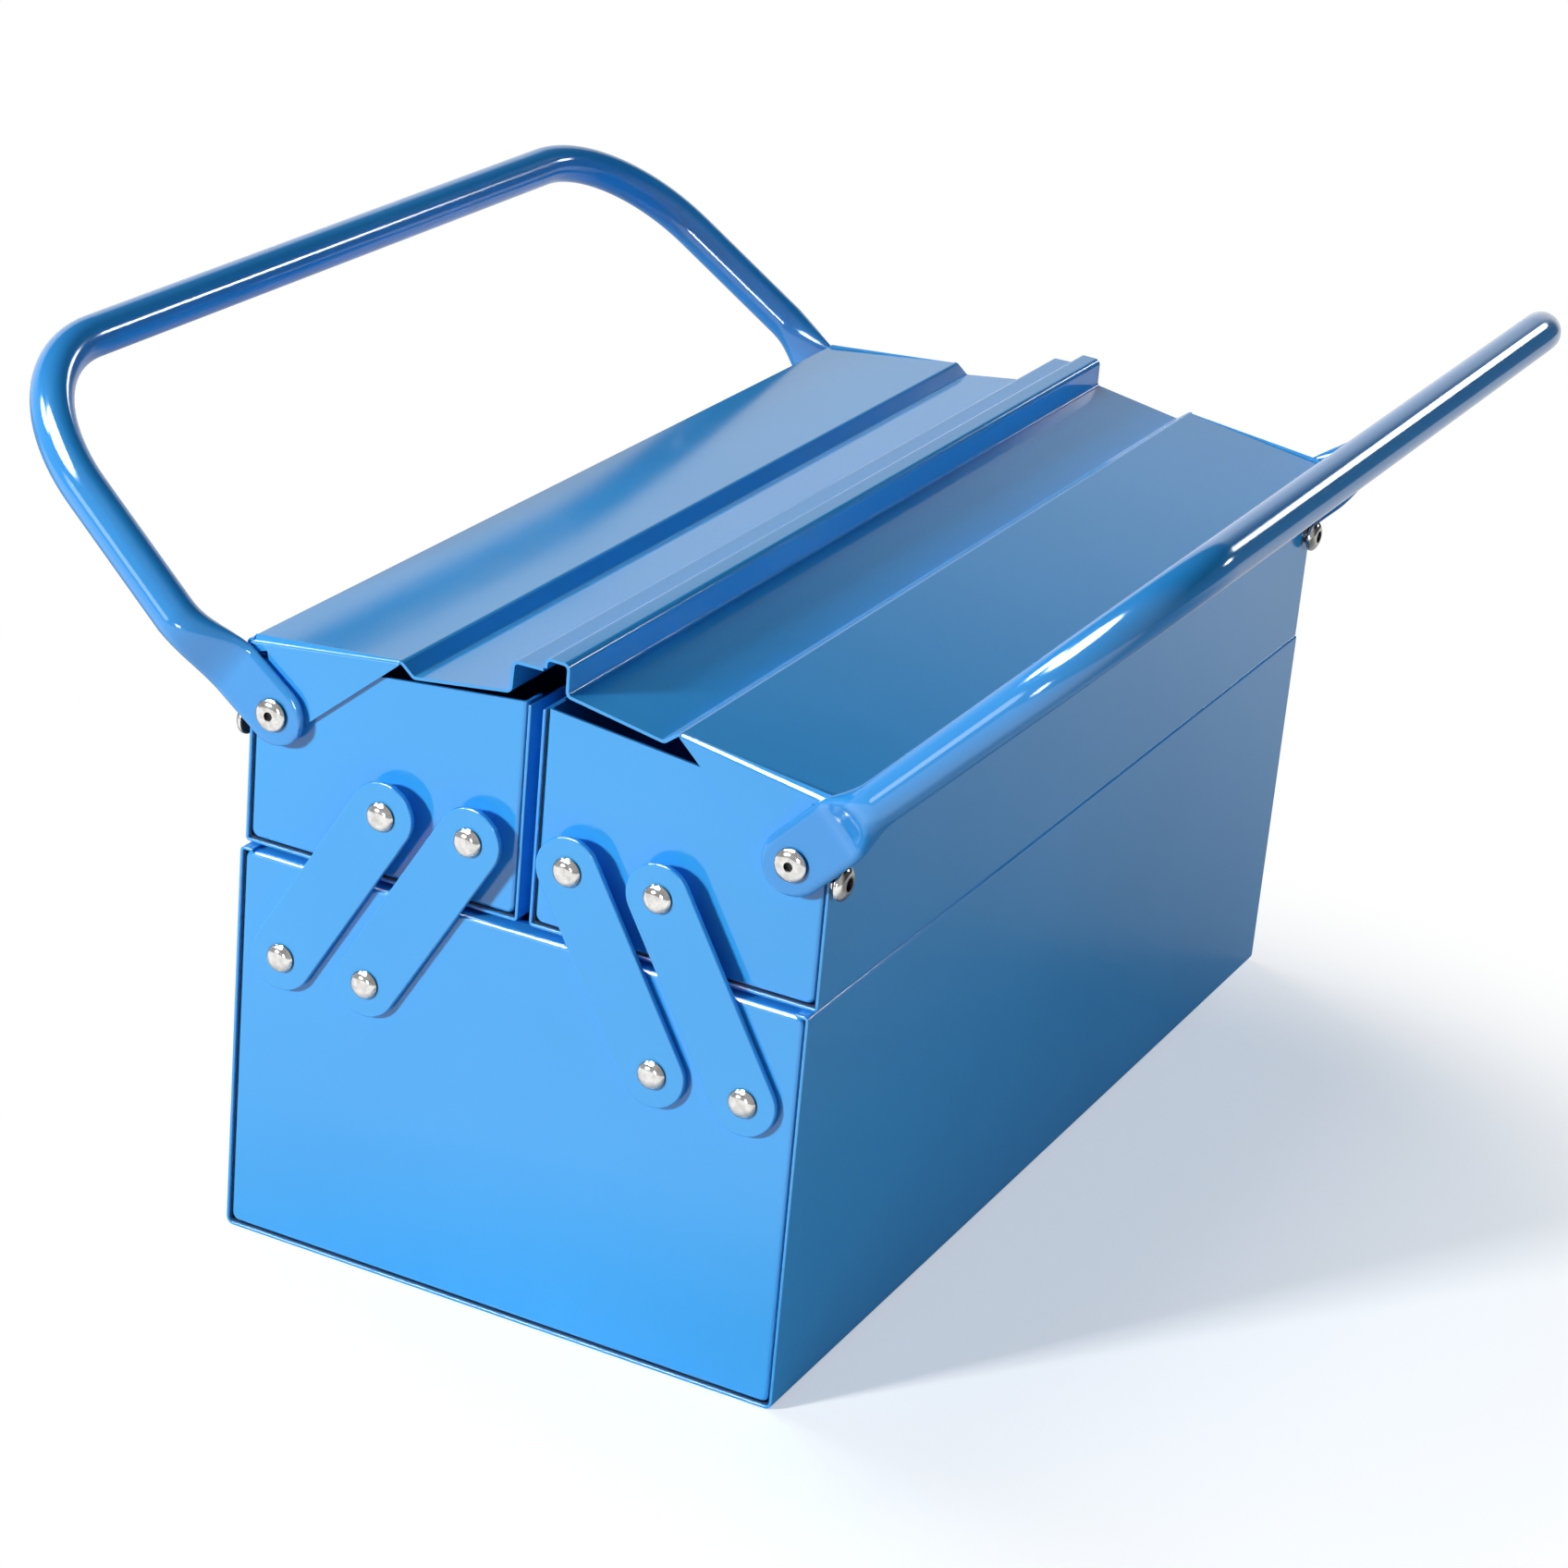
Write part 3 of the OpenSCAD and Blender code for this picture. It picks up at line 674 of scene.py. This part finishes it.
for side, k in sides:
    path = [lid_skirt, lid_outer, lid_step, lid_foot, ridge_foot, ridge_top] + ridge_end[side]
    path = [(k * x, z) for x, z in path]
    lid = fold_sheet(side + "_lid_sheet", path, 2 * lid_end, [lid_bend] * (len(path) - 2))
    slab = (Vector(lid_step) - Vector(lid_outer)).normalized()
    fall = (Vector(lid_foot) - Vector(lid_step)).normalized()
    outer_end = Vector(lid_outer) + slab * lid_bend * math.tan(slab.angle(Vector((0, 1))) / 2)
    inner_end = Vector(lid_step) - slab * lid_bend * math.tan(slab.angle(fall) / 2)
    ear_end = (inner_end.x, inner_end.y - ear_drop)
    corner = math.atan2(ear_corner[1], ear_corner[0])
    cut = math.radians(ear_cut[side])
    away = Vector(ear_end) - Vector((hinge_x, hinge_z))
    touch = math.atan2(away.y, away.x) + math.acos(ear_radius / away.length)
    if touch > cut:
        touch -= 2 * math.pi
    outline = [tuple(inner_end), tuple(outer_end), ear_shoulder]
    outline += round_ear(math.hypot(*ear_corner), corner, cut, 4)
    outline += round_ear(ear_radius, cut, touch, 24)
    outline.append(ear_end)
    ears = []
    for y in (-lid_end, lid_end):
        ears.append(draw_plate("ear", [(k * x, z) for x, z in outline], y))
        bpy.ops.object.mode_set(mode="OBJECT")
    lid = gather([lid] + ears, side + "_lid_sheet")
    bpy.ops.object.mode_set(mode="EDIT")
    bpy.ops.mesh.select_all(action="SELECT")
    bpy.ops.mesh.remove_doubles(threshold=0.02 * mm)
    bpy.ops.mesh.normals_make_consistent(inside=False)
    on_inner, on_outer = at(k * inner_end.x, inner_end.y), at(k * outer_end.x, outer_end.y)
    for y in (-lid_end, lid_end):
        pick(lid, lambda p: abs(p.y - y) < slack and (on_inner(p) or on_outer(p)))
        bpy.ops.mesh.bevel(offset=ear_bend * mm, segments=6, profile=0.5)
    bpy.ops.object.mode_set(mode="OBJECT")
    thicken(lid)
    for y in (-lid_end, lid_end):
        drill(lid, k * hinge_x, y, hinge_z, hinge_hole)
    smooth(lid)
    if side == "right":
        bpy.ops.object.mode_set(mode="EDIT")
        bpy.ops.mesh.select_all(action="SELECT")
        bpy.ops.transform.rotate(
            value=math.radians(-right_lid_open),
            orient_axis="Y",
            center_override=(k * hinge_x * mm, 0, hinge_z * mm),
        )
        bpy.ops.object.mode_set(mode="OBJECT")
    fit(lid, side + "_lid", side + "_lid", body_paint)


# ---- Handles ----
# Each handle is one length of 14 mm tube, bent twice into a wide U. Its ends are pressed flat,
# rounded off and drilled for the rivets, and the whole is enamelled in a deeper gloss blue.

handle_paint, enamel = start_finish("gloss_blue_enamel")
enamel.inputs["IOR"].default_value = 1.55
enamel.inputs["Coat Weight"].default_value = 0.25
enamel.inputs["Coat Roughness"].default_value = 0.05
flow, sag = grain(handle_paint, 14, 3), grain(handle_paint, 320)
colour_by(handle_paint, flow, (0.022, 0.27, 0.70), (0.028, 0.30, 0.75), 0.3, 0.7)
roughen_by(handle_paint, flow, 0.1, 0.16)
ripple_by(handle_paint, sag, 0.03, 0.00008)

tube_r = 6.98
reach = 139
bend_r = 56
round_from = 42
taper_from = 40
flat_from = 17
flat_in = 197.6
flat_half_w = 10.5
flat_half_t = 1.5
flat_bulge = 1.7
lean_in = 14
handle_rest = {"left": 37, "right": 46}
leg_lean = math.atan2(lean_in, reach - round_from)
leg_turn = math.pi / 2 - leg_lean
bend_in = bend_r * math.tan(leg_turn / 2)
grip_half = flat_in + tube_r - lean_in - bend_in
leg_length = math.hypot(reach - round_from, lean_in) - bend_in


def squeezed(s):
    """The pressed tube at a distance from the rivet: that distance, the middle of its thickness, its
    half thickness, the half height of the oval that its flats are cut from, and its half width."""
    t = min(1, max(0, (s - flat_from) / (taper_from - flat_from)))
    t = t * t * (3 - 2 * t)
    thick = flat_half_t + (tube_r - flat_half_t) * t
    bulge = flat_bulge + (1 - flat_bulge) * t
    return s, flat_in + thick, thick, thick * bulge, flat_half_w + (tube_r - flat_half_w) * t


bpy.ops.object.select_all(action="DESELECT")
bpy.ops.mesh.primitive_circle_add(
    vertices=48, radius=tube_r * mm, location=(reach * mm, 0, 0), rotation=(math.pi / 2, 0, 0)
)
handle = bpy.context.object
handle.name = handle.data.name = "handle_tube"
bpy.ops.object.transform_apply(location=True, rotation=True, scale=True)
bpy.ops.object.mode_set(mode="EDIT")
bpy.ops.mesh.select_all(action="SELECT")
bpy.ops.mesh.extrude_region_move(TRANSFORM_OT_translate={"value": (0, -grip_half * mm, 0)})
bpy.ops.mesh.spin(
    steps=24, angle=leg_turn, center=((reach - bend_r) * mm, -grip_half * mm, 0), axis=(0, 0, 1)
)
bpy.ops.mesh.extrude_region_move(
    TRANSFORM_OT_translate={
        "value": (-math.sin(leg_turn) * leg_length * mm, -math.cos(leg_turn) * leg_length * mm, 0)
    }
)
bpy.ops.transform.resize(
    value=(0, 1 / math.cos(leg_lean), 1), center_override=(round_from * mm, -(flat_in + tube_r) * mm, 0)
)
along_taper = (taper_from, 38, 36, 34, 32, 30, 28, 26, 24, 22, 20, 18.5, flat_from)
rings = [squeezed(s) for s in along_taper + (9, 0)]
tip = [(12, 1.5), (24, 1.5), (36, 1.5), (47, 1.5), (57, 1.48), (66, 1.42), (74, 1.3), (81, 1.1), (86, 0.8)]
for a, thick in tip:
    across, along = flat_half_w * math.cos(math.radians(a)), -flat_half_w * math.sin(math.radians(a))
    rings.append((along, flat_in + flat_half_t, thick, flat_bulge * thick, across))
s0, y0, oval0, wide0 = round_from, flat_in + tube_r, tube_r, tube_r
for s, y, thick, oval, wide in rings:
    bpy.ops.mesh.extrude_region_move(TRANSFORM_OT_translate={"value": ((s - s0) * mm, (y0 - y) * mm, 0)})
    bpy.ops.transform.resize(value=(1, oval / oval0, wide / wide0), center_override=(s * mm, -y * mm, 0))
    for flat in (-1, 1):
        pick(handle, lambda p: abs(p.x - s) < slack and (p.y + y) * flat > thick)
        bpy.ops.transform.resize(value=(1, 0, 1), center_override=(s * mm, (flat * thick - y) * mm, 0))
    pick(handle, lambda p: abs(p.x - s) < slack)
    s0, y0, oval0, wide0 = s, y, oval, wide
bpy.ops.mesh.edge_face_add()
bpy.ops.object.mode_set(mode="OBJECT")
finish_by(handle, "MIRROR", use_axis=(False, True, False), merge_threshold=0.01 * mm)
bpy.ops.object.mode_set(mode="EDIT")
end_shaping()
for y in (-flat_in - flat_half_t, flat_in + flat_half_t):
    drill(handle, 0, y, 0, hinge_hole)


def swing(piece, name, degrees, x):
    """Turns the level handle up to its rest angle and moves it to its rivets."""
    take_up(piece)
    piece.name = piece.data.name = name
    bpy.ops.object.mode_set(mode="EDIT")
    bpy.ops.mesh.select_all(action="SELECT")
    bpy.ops.transform.rotate(value=math.radians(degrees), orient_axis="Y", center_override=(0, 0, 0))
    bpy.ops.transform.translate(value=(x * mm, 0, hinge_z * mm))
    bpy.ops.object.mode_set(mode="OBJECT")
    smooth(piece)


take_up(handle)
bpy.ops.object.duplicate()
other_handle = bpy.context.object
swing(handle, "left_handle_tube", 180 - handle_rest["left"], -hinge_x)
swing(other_handle, "right_handle_tube", handle_rest["right"], hinge_x)
fit(handle, "left_handle", "left_handle", handle_paint)
fit(other_handle, "right_handle", "right_handle", handle_paint)


# ---- Studio ----
# A pale floor under three soft lamps: a small key at the front left, a large box overhead and a
# low fill at the right. Shine shows a room instead, with bright panes. The camera stands in
# front of the right-hand corner.

bpy.ops.object.select_all(action="DESELECT")
bpy.ops.mesh.primitive_circle_add(vertices=96, radius=1.7, fill_type="NGON", location=(0, 0, -0.0002))
floor = bpy.context.object
floor.name = "floor"


def grade(nodes, start, end, first, last, soft=False):
    """A node that leads from a first to a last value, between a start and an end."""
    node = nodes.new("ShaderNodeMapRange")
    node.interpolation_type = "SMOOTHSTEP" if soft else "LINEAR"
    node.inputs["From Min"].default_value = start
    node.inputs["From Max"].default_value = end
    node.inputs["To Min"].default_value = first
    node.inputs["To Max"].default_value = last
    return node


def reckon(nodes, operation):
    """A node that adds, multiplies or compares two numbers."""
    node = nodes.new("ShaderNodeMath")
    node.operation = operation
    return node


ground = bpy.data.materials.new("pale_floor")
ground.use_nodes = True
floor.data.materials.append(ground)
nodes, links = ground.node_tree.nodes, ground.node_tree.links
nodes.clear()
surface = nodes.new("ShaderNodeOutputMaterial")
seen = nodes.new("ShaderNodeLightPath")
place = nodes.new("ShaderNodeTexCoord")
depth_in = nodes.new("ShaderNodeSeparateXYZ")
links.new(place.outputs["Object"], depth_in.inputs["Vector"])

# Away from the box the floor glows: white to the camera, dimly to what it lights, and in shine
# brightest at the front and least beside the box.
white = nodes.new("ShaderNodeEmission")
plain = reckon(nodes, "MAXIMUM")
bounce = nodes.new("ShaderNodeMix")
dimmer = grade(nodes, -0.1, 0.5, 0.52, 0.42)
sheen = grade(nodes, -0.3, -0.1, 1.5, 0.3)
sheen_back = grade(nodes, 0.2, 0.6, 0, 0.75)
for by_depth in (dimmer, sheen, sheen_back):
    links.new(depth_in.outputs["Y"], by_depth.inputs["Value"])
links.new(sheen.outputs["Result"], sheen_back.inputs["To Min"])
links.new(seen.outputs["Is Glossy Ray"], bounce.inputs["Factor"])
links.new(dimmer.outputs["Result"], bounce.inputs["A"])
links.new(sheen_back.outputs["Result"], bounce.inputs["B"])
links.new(seen.outputs["Is Camera Ray"], plain.inputs[0])
links.new(bounce.outputs["Result"], plain.inputs[1])
links.new(plain.outputs["Value"], white.inputs["Strength"])

# Round the box it is matt and takes the shadow, which a faint glow keeps pale.
matt = nodes.new("ShaderNodeBsdfDiffuse")
matt.inputs["Color"].default_value = (0.88, 0.87, 0.84, 1)
glow = nodes.new("ShaderNodeEmission")
glow.inputs["Color"].default_value = (0.88, 0.93, 1, 1)
paler = reckon(nodes, "MULTIPLY")
paler.inputs[1].default_value = 0.5
lit = nodes.new("ShaderNodeAddShader")
links.new(seen.outputs["Is Camera Ray"], paler.inputs[0])
links.new(paler.outputs["Value"], glow.inputs["Strength"])
links.new(matt.outputs["BSDF"], lit.inputs[0])
links.new(glow.outputs["Emission"], lit.inputs[1])

# The one fades into the other a good way off.
spot = nodes.new("ShaderNodeMapping")
spot.inputs["Location"].default_value = (-0.24, 0.1, 0)
spot.inputs["Scale"].default_value = (2.4, 2.4, 1)
spread = nodes.new("ShaderNodeTexGradient")
spread.gradient_type = "SPHERICAL"
edge = grade(nodes, 0.2, 0.6, 0, 1, soft=True)
fade = nodes.new("ShaderNodeMixShader")
links.new(place.outputs["Object"], spot.inputs["Vector"])
links.new(spot.outputs["Vector"], spread.inputs["Vector"])
links.new(spread.outputs["Fac"], edge.inputs["Value"])
links.new(edge.outputs["Result"], fade.inputs["Fac"])
links.new(white.outputs["Emission"], fade.inputs[1])
links.new(lit.outputs["Shader"], fade.inputs[2])
links.new(fade.outputs["Shader"], surface.inputs["Surface"])

world = bpy.data.worlds.new("studio")
bpy.context.scene.world = world
world.use_nodes = True
nodes, links = world.node_tree.nodes, world.node_tree.links
nodes.clear()
sky = nodes.new("ShaderNodeOutputWorld")
place = nodes.new("ShaderNodeTexCoord")
way = nodes.new("ShaderNodeSeparateXYZ")
links.new(place.outputs["Generated"], way.inputs["Vector"])

# The room that shine shows: evenly pale at the front, and at the back a pale band low down that a
# curtain darkens towards the right.
backdrop = grade(nodes, 0.36, 0.5, 1.2, 0.04, soft=True)
curtain = grade(nodes, -0.1, 0.15, 1, 0.1, soft=True)
behind = reckon(nodes, "MULTIPLY")
round_room = grade(nodes, -0.2, 0.3, 0.7, 1)
links.new(way.outputs["Z"], backdrop.inputs["Value"])
links.new(way.outputs["X"], curtain.inputs["Value"])
links.new(way.outputs["Y"], round_room.inputs["Value"])
links.new(backdrop.outputs["Result"], behind.inputs[0])
links.new(curtain.outputs["Result"], behind.inputs[1])
links.new(behind.outputs["Value"], round_room.inputs["To Max"])

# Its bright panes, each with the way to its middle, its half sizes and its brightness.
total = round_room.outputs["Result"]
for middle, half, bright in (
    ((0.21, 0.92, 0.335), (0.13, 0.07, 0.09), 14),
    ((0.55, 0.785, 0.265), (0.09, 0.06, 0.06), 28),
    ((0.1, -0.98, 0.06), (0.1, 0.1, 0.12), 30),
    ((-0.71, -0.25, 0.64), (0.15, 0.2, 0.15), 40),
    ((-0.5, -0.86, 0.16), (0.2, 0.2, 0.18), 5),
    ((-0.32, -0.42, 0.82), (0.3, 0.42, 0.35), 50),
):
    frame_in = nodes.new("ShaderNodeMapping")
    frame_in.inputs["Scale"].default_value = [1 / h for h in half]
    frame_in.inputs["Location"].default_value = [-m / h for m, h in zip(middle, half)]
    window = nodes.new("ShaderNodeTexGradient")
    window.gradient_type = "SPHERICAL"
    pane = grade(nodes, 0, 0.2, 0, bright)
    add = reckon(nodes, "ADD")
    links.new(place.outputs["Generated"], frame_in.inputs["Vector"])
    links.new(frame_in.outputs["Vector"], window.inputs["Vector"])
    links.new(window.outputs["Fac"], pane.inputs["Value"])
    links.new(total, add.inputs[0])
    links.new(pane.outputs["Result"], add.inputs[1])
    total = add.outputs["Value"]
cove = nodes.new("ShaderNodeBackground")
links.new(total, cove.inputs["Strength"])

# Rough surfaces get a faint even light instead, and the camera sees plain white.
room = nodes.new("ShaderNodeBackground")
room.inputs["Color"].default_value = (0.92, 0.96, 1, 1)
room.inputs["Strength"].default_value = 0.1
paper = nodes.new("ShaderNodeBackground")
paper.inputs["Color"].default_value = (1, 1, 1, 1)
ray = nodes.new("ShaderNodeLightPath")
shine = reckon(nodes, "MAXIMUM")
glossy_mix = nodes.new("ShaderNodeMixShader")
camera_mix = nodes.new("ShaderNodeMixShader")
links.new(ray.outputs["Is Glossy Ray"], shine.inputs[0])
links.new(ray.outputs["Is Transmission Ray"], shine.inputs[1])
links.new(shine.outputs["Value"], glossy_mix.inputs["Fac"])
links.new(room.outputs["Background"], glossy_mix.inputs[1])
links.new(cove.outputs["Background"], glossy_mix.inputs[2])
links.new(ray.outputs["Is Camera Ray"], camera_mix.inputs["Fac"])
links.new(glossy_mix.outputs["Shader"], camera_mix.inputs[1])
links.new(paper.outputs["Background"], camera_mix.inputs[2])
links.new(camera_mix.outputs["Shader"], sky.inputs["Surface"])


def softbox(name, spot, aim, size, power, tint=(1, 1, 1)):
    """A rectangular lamp at a spot, turned to face its aim, that shine doesn't show."""
    bpy.ops.object.select_all(action="DESELECT")
    bpy.ops.object.light_add(type="AREA", location=spot)
    lamp = bpy.context.object
    lamp.name = name
    lamp.data.shape = "RECTANGLE"
    lamp.data.size, lamp.data.size_y = size
    lamp.data.energy = power
    lamp.data.color = tint
    lamp.visible_glossy = False
    lamp.rotation_euler = (Vector(aim) - Vector(spot)).to_track_quat("-Z", "Y").to_euler()


aim = (0, 0, 0.1)
softbox("front_key", (-1.28, -2.2, 0.95), aim, (0.3, 0.27), 64)
softbox("top_box", (-1.05, 0.4, 2.0), aim, (1.1, 1.4), 16)
softbox("right_fill", (3.2, 0.3, 0.5), aim, (1.6, 1), 19, (0.95, 0.98, 1))

bpy.ops.object.camera_add()
camera = bpy.context.object
camera.data.sensor_width = 36
camera.data.lens = 98.13
camera.data.clip_end = 60
turned = Matrix(
    ((0.884823, -0.248302, 0.394251), (0.458253, 0.310834, -0.832698), (0.084214, 0.917457, 0.388818))
)
camera.matrix_world = Matrix.Translation((0.5712, -1.2269, 0.6845)) @ turned.to_4x4()
bpy.context.scene.camera = camera
bpy.context.scene.view_settings.view_transform = "Standard"
